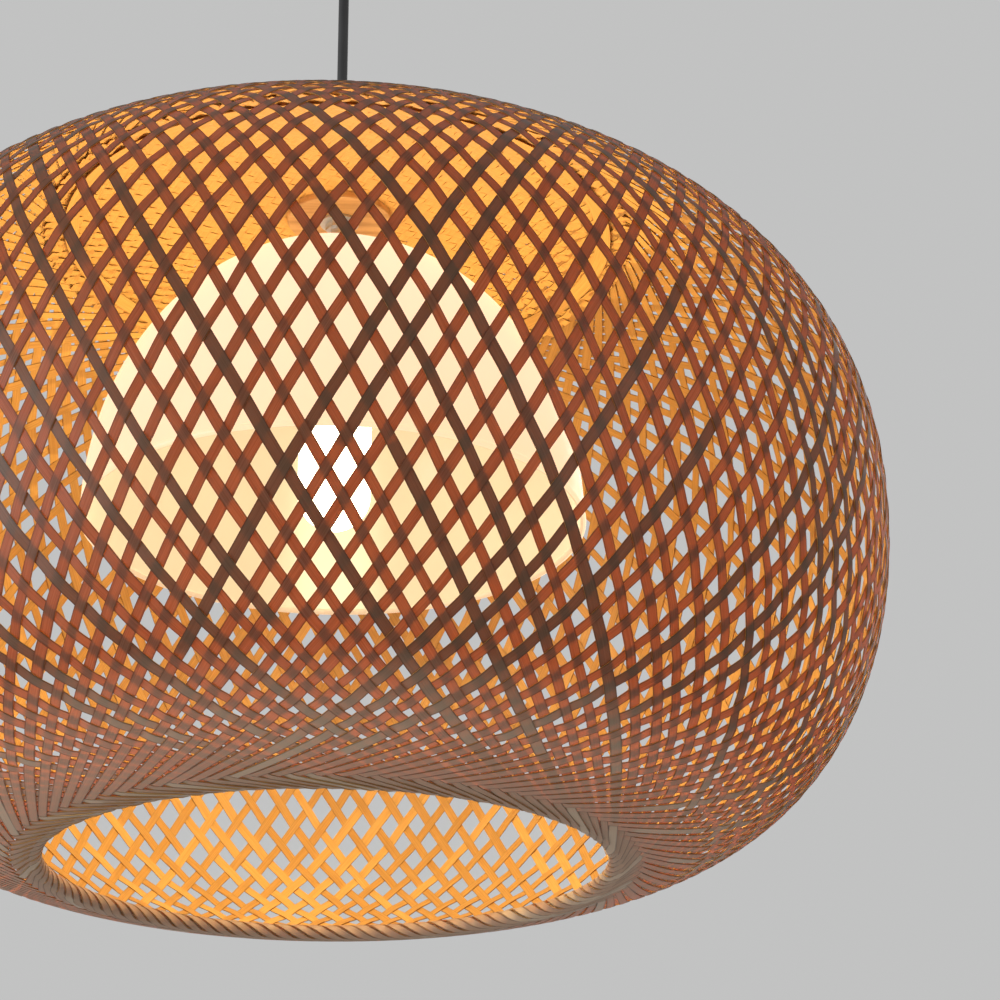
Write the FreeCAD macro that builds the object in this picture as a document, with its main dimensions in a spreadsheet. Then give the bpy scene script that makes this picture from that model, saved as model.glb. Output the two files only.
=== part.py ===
"""A woven bamboo pendant ceiling light, as separate pieces, in millimetres.

The origin is on the ceiling, at the middle of the ceiling bracket. +Z is up, so the whole light hangs
below Z = 0. Heights inside the shade are measured from its equator, its widest level.
"""
import FreeCAD, Part

import math
import os

import Sketcher
from FreeCAD import Placement, Rotation, Vector

doc = FreeCAD.newDocument("pendant_light")

DRIVING_SIZES = {
    # the woven shade
    "shade_radius": 300.0,
    "crown_height": 205.0,
    "belly_depth": 188.0,
    "mouth_radius": 151.0,
    "weave_thickness": 1.8,
    "ring_radius": 150.0,
    "mat_radius": 163.0,
    "mat_sink": 2.0,
    "hem_radius": 3.2,
    "hem_return": 7.0,
    "hoop_radius": 2.1,
    # where things hang, below the ceiling
    "equator_drop": 445.0,
    "cord_pivot_drop": 60.0,
    "cord_radius": 3.0,
    "cord_clearance": 0.05,
    # the ceiling fitting
    "cup_radius": 50.0,
    "cup_height": 52.0,
    "cup_wall": 1.2,
    "bracket_length": 95.0,
    "bracket_width": 22.0,
    "bracket_sheet": 2.0,
    "ear_drop": 24.0,
    "ceiling_hole_radius": 2.6,
    "ceiling_hole_spacing": 60.0,
    "side_screw_radius": 1.95,
    "side_screw_height": 12.0,
    "bush_radius": 5.5,
    "bush_flange_radius": 9.0,
    # the stem that carries the shade, the dome and the holder
    "stem_radius": 5.0,
    "stem_bore": 3.6,
    "stem_top": 226.0,
    "stem_bottom": 160.0,
    "nut_height": 4.0,
    "nut_radius": 8.0,
    "washer_height": 1.5,
    "washer_radius": 11.0,
    "disc_radius": 30.0,
    "disc_height": 4.0,
    "gland_radius": 8.0,
    "gland_height": 20.0,
    # the inner dome
    "dome_radius": 137.5,
    "dome_rim": 10.5,
    "dome_apex": 175.5,
    "dome_wall": 2.0,
    # the lamp holder, its mouth down
    "holder_top": 168.0,
    "holder_join": 142.0,
    "holder_mouth": 112.0,
    "holder_radius": 22.0,
    "skirt_radius": 19.5,
    "holder_wall": 2.0,
    "screw_bore": 13.5,
    # the bulb
    "bulb_tip": 8.0,
    "globe_radius": 20.0,
    "globe_top": 86.0,
    "globe_wall": 1.2,
    "collar_top": 110.0,
    "bulb_cap_radius": 13.2,
    "bulb_cap_top": 132.0,
    "bulb_contact_top": 137.5,
}

# How round the shade's profile is: |radius| ** a + |height| ** b = 1, above and below the equator.
CROWN_EXPONENTS = (2.63, 2.19)
BELLY_EXPONENTS = (4.19, 2.08)
PROFILE_POINTS = 26
DOME_POINTS = 14
# The shade's skin is built as panels: bands from top to mouth, each with a few points, and gores.
SHADE_BANDS = 5
BAND_STEPS = 14
SHADE_GORES = 16
# Small clearances and details that aren't worth a cell of their own.
GAP = 0.2


class Size:
    """A length that knows both its value and the spreadsheet expression that gives it."""

    def __init__(self, value, text=None):
        self.value = float(value)
        self.text = text if text is not None else repr(float(value))

    def combined(self, other, sign, result):
        other = as_size(other)
        return Size(result(self.value, other.value), "(%s %s %s)" % (self.text, sign, other.text))

    def __add__(self, other):
        return self.combined(other, "+", lambda a, b: a + b)

    def __sub__(self, other):
        return self.combined(other, "-", lambda a, b: a - b)

    def __mul__(self, other):
        return self.combined(other, "*", lambda a, b: a * b)

    def __truediv__(self, other):
        return self.combined(other, "/", lambda a, b: a / b)

    def __radd__(self, other):
        return as_size(other) + self

    def __rsub__(self, other):
        return as_size(other) - self

    def __neg__(self):
        return Size(-self.value, "(-1 * %s)" % self.text)


def as_size(number):
    return number if isinstance(number, Size) else Size(number)


def make_sheet():
    """Writes the driving sizes into a spreadsheet and returns them as Size values by name."""
    sheet = doc.addObject("Spreadsheet::Sheet", "sizes")
    named = {}
    for row, (alias, number) in enumerate(DRIVING_SIZES.items(), start=1):
        sheet.set("A%d" % row, alias.replace("_", " "))
        sheet.set("B%d" % row, "%g" % number)
        sheet.setAlias("B%d" % row, alias)
        named[alias] = Size(number, "sizes.%s" % alias)
    doc.recompute()
    return named


size = make_sheet()
pieces = {}
EQUATOR = -size["equator_drop"]
PIVOT = -size["cord_pivot_drop"]


def finish(label, solid):
    """Names a finished sub-part after the node that it becomes."""
    solid.Label = label
    pieces[label] = solid
    return solid


def place(thing, x=0.0, y=0.0, z=0.0):
    """Binds an object's position to the spreadsheet."""
    for letter, length in zip("xyz", (x, y, z)):
        thing.setExpression("Placement.Base.%s" % letter, as_size(length).text)
    return thing


TURNS = {
    "z": Rotation(),
    "x": Rotation(Vector(0, 1, 0), 90),
    "y": Rotation(Vector(1, 0, 0), -90),
}


def cylinder(name, radius, length, x=0.0, y=0.0, z=0.0, along="z"):
    """A cylinder that starts at a point and runs along an axis."""
    made = doc.addObject("Part::Cylinder", name)
    made.Placement = Placement(Vector(), TURNS[along])
    made.setExpression("Radius", as_size(radius).text)
    made.setExpression("Height", as_size(length).text)
    return place(made, x, y, z)


def box(name, low, sides):
    made = doc.addObject("Part::Box", name)
    for side, length in zip(("Length", "Width", "Height"), sides):
        made.setExpression(side, as_size(length).text)
    return place(made, *low)


def prism(name, sides, radius, length, z=0.0):
    made = doc.addObject("Part::Prism", name)
    made.Polygon = sides
    made.setExpression("Circumradius", as_size(radius).text)
    made.setExpression("Height", as_size(length).text)
    return place(made, z=z)


def joined(name, parts):
    made = doc.addObject("Part::MultiFuse", name)
    made.Shapes = parts
    return made


def group(name, parts):
    """Several separate solids in one node, for identical fasteners and the like."""
    made = doc.addObject("Part::Compound", name)
    made.Links = parts
    return made


def cut(name, base, tools):
    made = doc.addObject("Part::Cut", name)
    made.Base = base
    made.Tool = tools[0] if len(tools) == 1 else joined(name + "_tools", tools)
    return made


def origin_plane(body, role):
    for feature in body.Origin.OriginFeatures:
        if feature.Role == role:
            return feature
    raise RuntimeError("no plane called " + role)


def closed_sketch(body, name, corners):
    """A closed outline on the body's front plane, each corner bound to its two driving lengths."""
    sketch = body.newObject("Sketcher::SketchObject", name)
    sketch.AttachmentSupport = [(origin_plane(body, "XZ_Plane"), "")]
    sketch.MapMode = "FlatFace"
    corners = [(as_size(across), as_size(up)) for across, up in corners]
    count = len(corners)
    for index in range(count):
        here = corners[index]
        there = corners[(index + 1) % count]
        start = Vector(here[0].value, here[1].value, 0)
        end = Vector(there[0].value, there[1].value, 0)
        sketch.addGeometry(Part.LineSegment(start, end), False)
    for index in range(count):
        sketch.addConstraint(Sketcher.Constraint("Coincident", index, 2, (index + 1) % count, 1))
    for index, corner in enumerate(corners):
        for kind, length in zip(("DistanceX", "DistanceY"), corner):
            number = sketch.addConstraint(Sketcher.Constraint(kind, -1, 1, index, 1, length.value))
            constraint = "%s_%d" % (kind, index)
            sketch.renameConstraint(number, constraint)
            sketch.setExpression("Constraints." + constraint, length.text)
    return sketch


def turned_body(name, outline, height_of_datum=0.0):
    """An outline of (radius, height) corners, revolved about the light's axis."""
    body = doc.addObject("PartDesign::Body", name)
    turn = body.newObject("PartDesign::Revolution", name + "_turn")
    sketch = closed_sketch(body, name + "_outline", outline)
    turn.Profile = sketch
    turn.ReferenceAxis = (sketch, ["V_Axis"])
    turn.Angle = 360
    body.Tip = turn
    return place(body, z=height_of_datum)


def turned(label, outline, height_of_datum=0.0):
    """A turned piece that needs no more work."""
    return finish(label, turned_body(label, outline, height_of_datum))


def round_edges(body, label, radius, picks):
    """Rounds the circular edges of a turned body that lie at the given (radius, height) places."""
    doc.recompute()
    base = body.Tip
    names = []
    for number, edge in enumerate(base.Shape.Edges, start=1):
        if not isinstance(edge.Curve, Part.Circle):
            continue
        for edge_radius, edge_height in picks:
            same_radius = abs(edge.Curve.Radius - edge_radius.value) < 1e-4
            same_height = abs(edge.Curve.Center.z - edge_height.value) < 1e-4
            if same_radius and same_height:
                names.append("Edge%d" % number)
    fillet = body.newObject("PartDesign::Fillet", label + "_rounding")
    fillet.Base = (base, names)
    fillet.Radius = radius
    body.Tip = fillet
    return fillet


# ---- ceiling fitting ----------------------------------------------------------------------------

def make_bracket():
    """A steel strap against the ceiling, with two ears that take the cup's side screws."""
    length, width, sheet = size["bracket_length"], size["bracket_width"], size["bracket_sheet"]
    half, drop = length / 2, size["ear_drop"]
    body = doc.addObject("PartDesign::Body", "bracket_strip")
    strap = body.newObject("PartDesign::Pad", "bracket_strap")
    strap.Profile = closed_sketch(body, "bracket_side", [
        (-half, 0), (half, 0), (half, -drop), (half - sheet, -drop), (half - sheet, -sheet),
        (sheet - half, -sheet), (sheet - half, -drop), (-half, -drop),
    ])
    strap.Midplane = True
    strap.setExpression("Length", width.text)
    body.Tip = strap
    spacing, hole = size["ceiling_hole_spacing"], size["ceiling_hole_radius"]
    holes = [
        cylinder("ceiling_hole_%d" % side, hole, 10, x=spacing * (side / 2), z=-5.0) for side in (-1, 1)
    ]
    screw_line = cylinder(
        "side_screw_line", size["side_screw_radius"], length + 10, x=-half - 5,
        z=-size["side_screw_height"], along="x",
    )
    anchor_hole = cylinder("anchor_hole", 1.5, 10, y=0.0, z=-5.0)
    return finish("ceiling_bracket", cut("bracket_drilled", body, holes + [screw_line, anchor_hole]))


def make_cup():
    """The cup that hides the wiring. Its two side holes take screws into the bracket's ears."""
    radius, wall, height = size["cup_radius"], size["cup_wall"], size["cup_height"]
    hole = size["bush_radius"] + 0.1
    body = turned_body("cup_shell", [
        (hole, -height), (radius, -height), (radius, 0), (radius - wall, 0),
        (radius - wall, wall - height), (hole, wall - height),
    ])
    round_edges(body, "cup", 3.0, [(radius, -height)])
    holes = cylinder(
        "cup_side_holes", size["side_screw_radius"] + 0.3, radius * 2 + 10, x=-radius - 5,
        z=-size["side_screw_height"], along="x",
    )
    return finish("ceiling_cup", cut("cup_drilled", body, [holes]))


def make_side_screws():
    """Two slotted screws, from the cup's outside into the bracket's ears."""
    radius, shank = size["cup_radius"], size["side_screw_radius"]
    height = -size["side_screw_height"]
    tip = size["bracket_length"] / 2 - 6
    screws = []
    for side in (-1, 1):
        name = "side_screw_%s" % ("left" if side < 0 else "right")
        inner = tip if side > 0 else -radius
        outer = radius if side > 0 else -radius - 3
        body = cylinder(name + "_shank", shank, radius - tip, x=inner, z=height, along="x")
        head = cylinder(name + "_head", 4.0, 3.0, x=outer, z=height, along="x")
        slot_x = radius + 2 if side > 0 else -radius - 3.5
        slot = box(name + "_slot", (slot_x, -5.0, height - 0.5), (1.5, 10.0, 1.0))
        screws.append(cut(name, joined(name + "_blank", [body, head]), [slot]))
    return finish("cup_screws", group("cup_screw_pair", screws))


def make_bush():
    """The cord's bush in the cup's middle: flange below, threaded shank and nut above."""
    bottom = PIVOT
    cup_bottom = -size["cup_height"]
    shank, flange = size["bush_radius"], size["bush_flange_radius"]
    bore = size["cord_radius"] + size["cord_clearance"]
    bush = turned_body("cup_bush_turned", [
        (bore + 1.5, bottom), (shank + 0.5, bottom), (flange, cup_bottom - 2.5), (flange, cup_bottom),
        (shank, cup_bottom), (shank, cup_bottom + 13), (bore, cup_bottom + 13), (bore, bottom + 1.5),
    ])
    screw_z = cup_bottom + 9.5
    screw_hole = cylinder("bush_screw_hole", 1.5, 8.0, x=0.0, z=screw_z, along="x")
    finish("cup_bush", cut("cup_bush_drilled", bush, [screw_hole]))
    screw = cylinder("bush_grub_screw", 1.45, 4.0, x=size["cord_radius"], z=screw_z, along="x")
    slot = box("bush_screw_slot", (size["cord_radius"] + 3.2, -1.6, screw_z - 0.3), (1.0, 3.2, 0.6))
    finish("bush_screw", cut("bush_screw_slotted", screw, [slot]))
    inside = cup_bottom + size["cup_wall"]
    nut = prism("bush_nut_blank", 6, 9.0, 4.5, z=inside)
    nut_bore = cylinder("bush_nut_bore", shank, 6.0, z=inside - 1)
    return finish("bush_nut", cut("bush_nut_hex", nut, [nut_bore]))


TERMINAL_X = 6.0
BLOCK = (26.0, 16.0, 13.0)


def make_terminal_block():
    """A two-way terminal block under the bracket, with brass tubes and clamping screws."""
    long, deep, tall = BLOCK
    top = -size["bracket_sheet"]
    low = top - tall
    blank = box("block_blank", (-long / 2, -deep / 2, low), BLOCK)
    tube_height = low + tall / 2 - 1
    tools = [cylinder("block_anchor_hole", 1.6, tall + 2, z=low - 1)]
    tubes = []
    screws = []
    for side in (-1, 1):
        x = TERMINAL_X * side + 1.5 * side
        name = "terminal_%s" % ("live" if side > 0 else "neutral")
        tools.append(cylinder(name + "_way", 2.6, deep + 2, x=x, y=-deep / 2 - 1, z=tube_height, along="y"))
        tools.append(cylinder(name + "_access", 1.5, tall / 2 + 3, x=x, z=low - 1))
        tube = cylinder(name + "_tube_blank", 2.5, deep - 3, x=x, y=-deep / 2 + 1.5, z=tube_height, along="y")
        bore = cylinder(name + "_tube_bore", 1.6, deep, x=x, y=-deep / 2, z=tube_height, along="y")
        thread = cylinder(name + "_tube_thread", 1.25, 6.0, x=x, z=tube_height - 6)
        tubes.append(cut(name + "_tube", tube, [bore, thread]))
        screws.append(cylinder(name + "_screw", 1.2, 4.0, x=x, z=tube_height - 5.1))
    finish("terminal_block", cut("block_drilled", blank, tools))
    finish("terminal_tubes", group("terminal_tube_pair", tubes))
    finish("terminal_screws", group("terminal_screw_pair", screws))
    head = cylinder("block_screw_head", 2.8, 1.5, z=low - 1.5)
    shank = cylinder("block_screw_shank", 1.45, tall + 2.5, z=low - 1)
    return finish("block_screw", joined("block_screw_solid", [head, shank]))


# ---- cord and cores -----------------------------------------------------------------------------

def bent_wire(points, radius):
    """A round wire through the points, with a tangent arc of its own radius at each corner."""
    edges = []
    start = points[0]
    for before, corner, after in zip(points, points[1:], points[2:]):
        back, ahead = before - corner, after - corner
        reach = 0.4 * min(back.Length, ahead.Length)
        back.normalize()
        ahead.normalize()
        entry = corner + back * reach
        leave = corner + ahead * reach
        half_turn = back.getAngle(ahead) / 2
        middle_way = back + ahead
        middle_way.normalize()
        # The arc's middle lies on the bisector, between the corner and the arc's centre.
        to_centre = reach / math.cos(half_turn)
        arc_radius = reach * math.tan(half_turn)
        middle = corner + middle_way * (to_centre - arc_radius)
        edges.append(Part.LineSegment(start, entry).toShape())
        edges.append(Part.Arc(entry, middle, leave).toShape())
        start = leave
    edges.append(Part.LineSegment(start, points[-1]).toShape())
    path = Part.Wire(edges)
    direction = points[1] - points[0]
    ring = Part.Wire([Part.Circle(points[0], direction, radius).toShape()])
    return path.makePipeShell([ring], True, True)


def feature(name, shape):
    made = doc.addObject("Part::Feature", name)
    made.Shape = shape
    return made


def make_cord():
    """The cord in the stretches that move apart: in the bush, the free run and inside the stem."""
    radius = size["cord_radius"]
    bush_top = -size["cup_height"] + 1.0
    tail_top = -size["cup_height"] + 19.0
    finish("cord_tail", cylinder("cord_tail_tube", radius, tail_top - bush_top, z=bush_top))
    neck_low = PIVOT + radius
    finish("cord_neck", cylinder("cord_neck_tube", radius, bush_top - neck_low, z=neck_low))
    lower_pivot = EQUATOR + gland_top()
    run = cylinder("cord_run_tube", radius, PIVOT - lower_pivot, z=lower_pivot)
    ends = []
    for name, height in (("cord_run_top", PIVOT), ("cord_run_bottom", lower_pivot)):
        ball = doc.addObject("Part::Sphere", name)
        ball.setExpression("Radius", radius.text)
        ends.append(place(ball, z=height))
    finish("pendant_cord", joined("cord_run", [run] + ends))
    end_low = EQUATOR + size["stem_bottom"] - 8
    end_top = lower_pivot - radius
    finish("cord_end", cylinder("cord_end_tube", radius, end_top - end_low, z=end_low))


def make_cores():
    """The cord's two cores, bared of the sheath at each end and led to the terminals."""
    core = 1.1
    tail_top = -size["cup_height"].value + 19.0
    block_low = -size["bracket_sheet"].value - BLOCK[2]
    tube_height = block_low + BLOCK[2] / 2 - 1
    front = -BLOCK[1] / 2
    supply = []
    for side in (-1, 1):
        x = (TERMINAL_X + 1.5) * side
        supply.append(bent_wire([
            Vector(1.3 * side, 0, tail_top), Vector(1.3 * side, 0, tail_top + 3.5),
            Vector(x, front - 5, tube_height - 5), Vector(x, front - 5, tube_height),
            Vector(x, front + 3, tube_height),
        ], core))
    finish("supply_cores", feature("supply_core_pair", Part.makeCompound(supply)))
    sheath_end = size["stem_bottom"].value - 8
    terminal = insert_top().value
    holder = []
    for side in (-1, 1):
        holder.append(bent_wire([
            Vector(1.3 * side, 0, sheath_end), Vector(1.3 * side, 0, sheath_end - 2.5),
            Vector(9.0 * side, 0, terminal + 3), Vector(9.0 * side, 0, terminal - 2.5),
        ], core))
    cores = feature("holder_core_pair", Part.makeCompound(holder))
    finish("holder_cores", place(cores, z=EQUATOR))


# ---- stem, discs and gland ----------------------------------------------------------------------

def gland_top():
    return size["stem_top"] - 9 + size["gland_height"]


def make_gland():
    """The cord grip screwed on the stem's top, with a bell mouth and a grub screw."""
    low, high = gland_top() - size["gland_height"], gland_top()
    bore = size["cord_radius"] + size["cord_clearance"]
    outer = size["gland_radius"]
    gland = turned_body("gland_turned", [
        (size["stem_radius"], low), (outer, low), (outer, high - 7), (outer - 2, high),
        (bore + 1.5, high), (bore, high - 1.5), (bore, size["stem_top"] + 0.5),
        (size["stem_radius"], size["stem_top"] + 0.5),
    ], EQUATOR)
    height = EQUATOR + high - 6.5
    hole = cylinder("gland_screw_hole", 1.5, outer + 1, z=height, along="x")
    finish("cord_gland", cut("gland_drilled", gland, [hole]))
    screw = cylinder("gland_grub_screw", 1.45, outer - size["cord_radius"] - 0.4,
                     x=size["cord_radius"], z=height, along="x")
    slot = box("gland_screw_slot", (outer - 1.2, -1.6, height - 0.3), (1.5, 3.2, 0.6))
    return finish("gland_screw", cut("gland_screw_slotted", screw, [slot]))


def mat_faces():
    """The crown mat's lower and upper face where the discs grip it."""
    middle = size["crown_height"] - size["mat_sink"]
    half = size["weave_thickness"] / 2
    return middle - half, middle + half


def make_stem():
    """The threaded tube that everything hangs on, with its nuts and washers."""
    radius, bore = size["stem_radius"], size["stem_bore"]
    low, high = size["stem_bottom"], size["stem_top"]
    turned("threaded_stem", [(bore, low), (radius, low), (radius, high), (bore, high)], EQUATOR)
    crown_low, crown_high = mat_faces()
    nut, washer = size["nut_height"], size["washer_height"]
    under_disc = crown_low - size["disc_height"]
    over_disc = crown_high + size["disc_height"]
    apex, wall = size["dome_apex"], size["dome_wall"]
    washers = [under_disc - washer, over_disc, apex, apex - wall - washer]
    nuts = [under_disc - washer - nut, over_disc + washer, apex + washer, apex - wall - washer - nut]
    rings = []
    for number, level in enumerate(washers):
        ring = cylinder("washer_%d_blank" % number, size["washer_radius"], washer, z=EQUATOR + level)
        hole = cylinder("washer_%d_hole" % number, radius, washer + 2, z=EQUATOR + level - 1)
        rings.append(cut("washer_%d" % number, ring, [hole]))
    finish("stem_washers", group("stem_washer_set", rings))
    hexes = []
    for number, level in enumerate(nuts):
        blank = prism("nut_%d_blank" % number, 6, size["nut_radius"], nut, z=EQUATOR + level)
        hole = cylinder("nut_%d_hole" % number, radius, nut + 2, z=EQUATOR + level - 1)
        hexes.append(cut("nut_%d" % number, blank, [hole]))
    finish("stem_nuts", group("stem_nut_set", hexes))


def make_discs():
    """Two wooden discs that grip the woven crown between them, and the four screws through both."""
    radius, tall = size["disc_radius"], size["disc_height"]
    crown_low, crown_high = mat_faces()
    hole = size["stem_radius"] + GAP
    lower = turned_body("lower_disc_turned", [
        (hole, crown_low - tall), (radius, crown_low - tall), (radius, crown_low), (hole, crown_low),
    ], EQUATOR)
    upper = turned_body("upper_disc_turned", [
        (hole, crown_high), (radius, crown_high), (radius, crown_high + tall), (hole, crown_high + tall),
    ], EQUATOR)
    round_edges(upper, "upper_disc", 1.5, [(radius, crown_high + tall)])
    round_edges(lower, "lower_disc", 1.0, [(radius, crown_low - tall)])
    screws = []
    bores = []
    for number in range(4):
        angle = math.radians(45 + 90 * number)
        x, y = radius * (0.7 * math.cos(angle)), radius * (0.7 * math.sin(angle))
        low = EQUATOR + crown_low - tall + 0.6
        high = EQUATOR + crown_high + tall
        name = "disc_screw_%d" % number
        bores.append(cylinder(name + "_bore", 1.5, high - low + 1, x=x, y=y, z=low))
        shank = cylinder(name + "_shank", 1.5, high - low, x=x, y=y, z=low)
        head = cylinder(name + "_head", 3.2, 1.8, x=x, y=y, z=high)
        slot = box(name + "_slot", (x - 4, y - 0.4, high + 1.0), (8.0, 0.8, 1.0))
        screws.append(cut(name, joined(name + "_blank", [shank, head]), [slot]))
    finish("disc_screws", group("disc_screw_set", screws))
    finish("lower_crown_disc", cut("lower_disc_bored", lower, bores))
    finish("upper_crown_disc", cut("upper_disc_bored", upper, bores))
    return bores


# ---- the woven shade and its hoop ---------------------------------------------------------------

def profile_point(turn, exponents, height):
    """A point of the shade's profile: turn is 0 at the equator and 90 degrees on the axis."""
    a, b = exponents
    radius = size["shade_radius"].value * (math.cos(turn) ** 2) ** (1 / a)
    return radius, height * (math.sin(turn) ** 2) ** (1 / b)


def turn_at(radius, exponents):
    """The profile's turn at a radius."""
    share = (radius / size["shade_radius"].value) ** exponents[0]
    return math.acos(math.sqrt(share))


def crown_profile():
    """The crown's middle line from the stem outwards, flat under the discs, as (radius, height)."""
    disc, crown = size["disc_radius"].value, size["crown_height"].value
    points = [(disc, crown)]
    steps = PROFILE_POINTS // 2
    low = turn_at(size["mat_radius"].value, CROWN_EXPONENTS)
    high = turn_at(disc * 1.5, CROWN_EXPONENTS)
    for step in range(steps + 1):
        points.append(profile_point(high + (low - high) * step / steps, CROWN_EXPONENTS, crown))
    return points


def side_profile():
    """The shade's middle line from the crown's ring down to the mouth, as (radius, height)."""
    points = []
    steps = PROFILE_POINTS // 2
    top = turn_at(size["ring_radius"].value, CROWN_EXPONENTS)
    for step in range(steps):
        points.append(profile_point(top * (1 - step / steps), CROWN_EXPONENTS, size["crown_height"].value))
    points.append((size["shade_radius"].value, 0.0))
    low = turn_at(size["mouth_radius"].value, BELLY_EXPONENTS)
    for step in range(1, steps + 1):
        points.append(profile_point(low * step / steps, BELLY_EXPONENTS, -size["belly_depth"].value))
    return points


def section_vector(radius, height):
    return Vector(radius, 0, height)


def offset_sides(points, middle_offset, steps):
    """The outer and inner face lines of a skin round a middle line, with its last point and direction."""
    half = size["weave_thickness"].value / 2
    line = Part.BSplineCurve()
    line.interpolate([section_vector(*point) for point in points])
    first, last = line.FirstParameter, line.LastParameter
    outer, inner = [], []
    for step in range(steps + 1):
        where = first + (last - first) * step / steps
        middle, along = line.value(where), line.tangent(where)[0]
        outward = Vector(-along.z, 0, along.x)
        outer.append(middle + outward * (middle_offset + half))
        inner.append(middle + outward * (middle_offset - half))
    return outer, inner, line.value(last), line.tangent(last)[0]


def spline_edge(points):
    curve = Part.BSplineCurve()
    curve.interpolate(points)
    return curve.toShape()


def line_edge(start, end):
    return Part.LineSegment(start, end).toShape()


def revolved(edges, sweep=360.0):
    """The solid that a closed line of edges in the XZ plane sweeps round the upright axis."""
    section = Part.Face(Part.Wire(Part.__sortEdges__(edges)))
    return section.revolve(Vector(), Vector(0, 0, 1), sweep)


def make_mat():
    """The close-woven mat that shuts the crown, under the ends of the shade's strips."""
    sink = size["mat_sink"].value
    outer, inner, _, _ = offset_sides(crown_profile(), -sink, 2 * PROFILE_POINTS)
    low, high = (face.value for face in mat_faces())
    hole, flat = size["stem_radius"].value + 1.0, size["disc_radius"].value
    top_hole, top_flat = section_vector(hole, high), section_vector(flat, high)
    low_hole, low_flat = section_vector(hole, low), section_vector(flat, low)
    outer[0], inner[0] = top_flat, low_flat
    return place(feature("mat_skin", revolved([
        line_edge(top_hole, top_flat), spline_edge(outer), line_edge(outer[-1], inner[-1]),
        spline_edge(inner), line_edge(low_flat, low_hole), line_edge(low_hole, top_hole),
    ])), z=EQUATOR)


def make_shade():
    """The woven side of the globe as a thin skin, with a hem rolled over the hoop at the mouth.

    The skin is built as panels that touch edge to edge, five bands of sixteen, so that each one is
    nearly flat and its convex hull stays in the wall.
    """
    half, hem = size["weave_thickness"].value / 2, size["hem_radius"].value
    steps = SHADE_BANDS * BAND_STEPS
    outer, inner, mouth, along = offset_sides(side_profile(), 0.0, steps)
    outward = Vector(-along.z, 0, along.x)
    # The hem turns from the mouth, round the hoop, and runs back up inside the shade.
    centre = mouth - outward * hem
    fold = mouth - outward * (2 * hem)
    back = fold - along * size["hem_return"].value
    outer_hem = Part.Arc(mouth + outward * half, centre + along * (hem + half), fold - outward * half)
    inner_hem = Part.Arc(fold + outward * half, centre + along * (hem - half), mouth - outward * half)
    hem_edges = [
        outer_hem.toShape(), inner_hem.toShape(),
        line_edge(fold - outward * half, back - outward * half),
        line_edge(back - outward * half, back + outward * half),
        line_edge(back + outward * half, fold + outward * half),
    ]
    panels = []
    for start in range(0, steps, BAND_STEPS):
        end = start + BAND_STEPS
        sides = [
            spline_edge(outer[start:end + 1]), spline_edge(inner[start:end + 1]),
            line_edge(inner[start], outer[start]),
        ]
        closing = hem_edges if end == steps else [line_edge(inner[end], outer[end])]
        panel = revolved(sides + closing, 360 / SHADE_GORES)
        for gore in range(SHADE_GORES):
            panels.append(panel.copy())
            panels[-1].rotate(Vector(), Vector(0, 0, 1), 360 * gore / SHADE_GORES)
    finish("woven_shade", place(feature("shade_skin", Part.makeCompound(panels)), z=EQUATOR))
    hoop = doc.addObject("Part::Torus", "mouth_hoop_ring")
    hoop.Radius1 = centre.x
    hoop.setExpression("Radius2", size["hoop_radius"].text)
    finish("mouth_hoop", place(hoop, z=EQUATOR + centre.z))


def make_dome():
    """The opal inner dome: a flat top round the stem, an elliptical wall and a rolled rim."""
    radius, wall = size["dome_radius"].value, size["dome_wall"].value
    low, apex = size["dome_rim"].value, size["dome_apex"].value
    flat = size["washer_radius"].value + 4.0
    sides = []
    for grow in (0.0, -wall):
        side = []
        reach, tall = radius + grow, apex - low + grow
        for step in range(DOME_POINTS + 1):
            angle = math.radians(90) * step / DOME_POINTS
            if reach * math.cos(angle) < flat * 1.3:
                break
            side.append(section_vector(reach * math.cos(angle), low + tall * math.sin(angle)))
        side.append(section_vector(flat, low + tall))
        sides.append(side)
    outer, inner = sides
    hole = size["stem_radius"].value + GAP
    outer_hole, inner_hole = section_vector(hole, apex), section_vector(hole, apex - wall)
    dome = place(feature("dome_wall_turned", revolved([
        spline_edge(outer), spline_edge(inner), line_edge(outer[0], inner[0]),
        line_edge(outer[-1], outer_hole), line_edge(inner[-1], inner_hole),
        line_edge(outer_hole, inner_hole),
    ])), z=EQUATOR)
    bead = doc.addObject("Part::Torus", "dome_rim_bead")
    bead.setExpression("Radius1", (size["dome_radius"] - size["dome_wall"] / 2).text)
    bead.setExpression("Radius2", (size["dome_wall"] * 0.9).text)
    place(bead, z=EQUATOR + size["dome_rim"])
    return finish("inner_dome", joined("dome_with_bead", [dome, bead]))


# ---- lamp holder --------------------------------------------------------------------------------

def insert_top():
    return size["holder_join"] + 4


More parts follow.
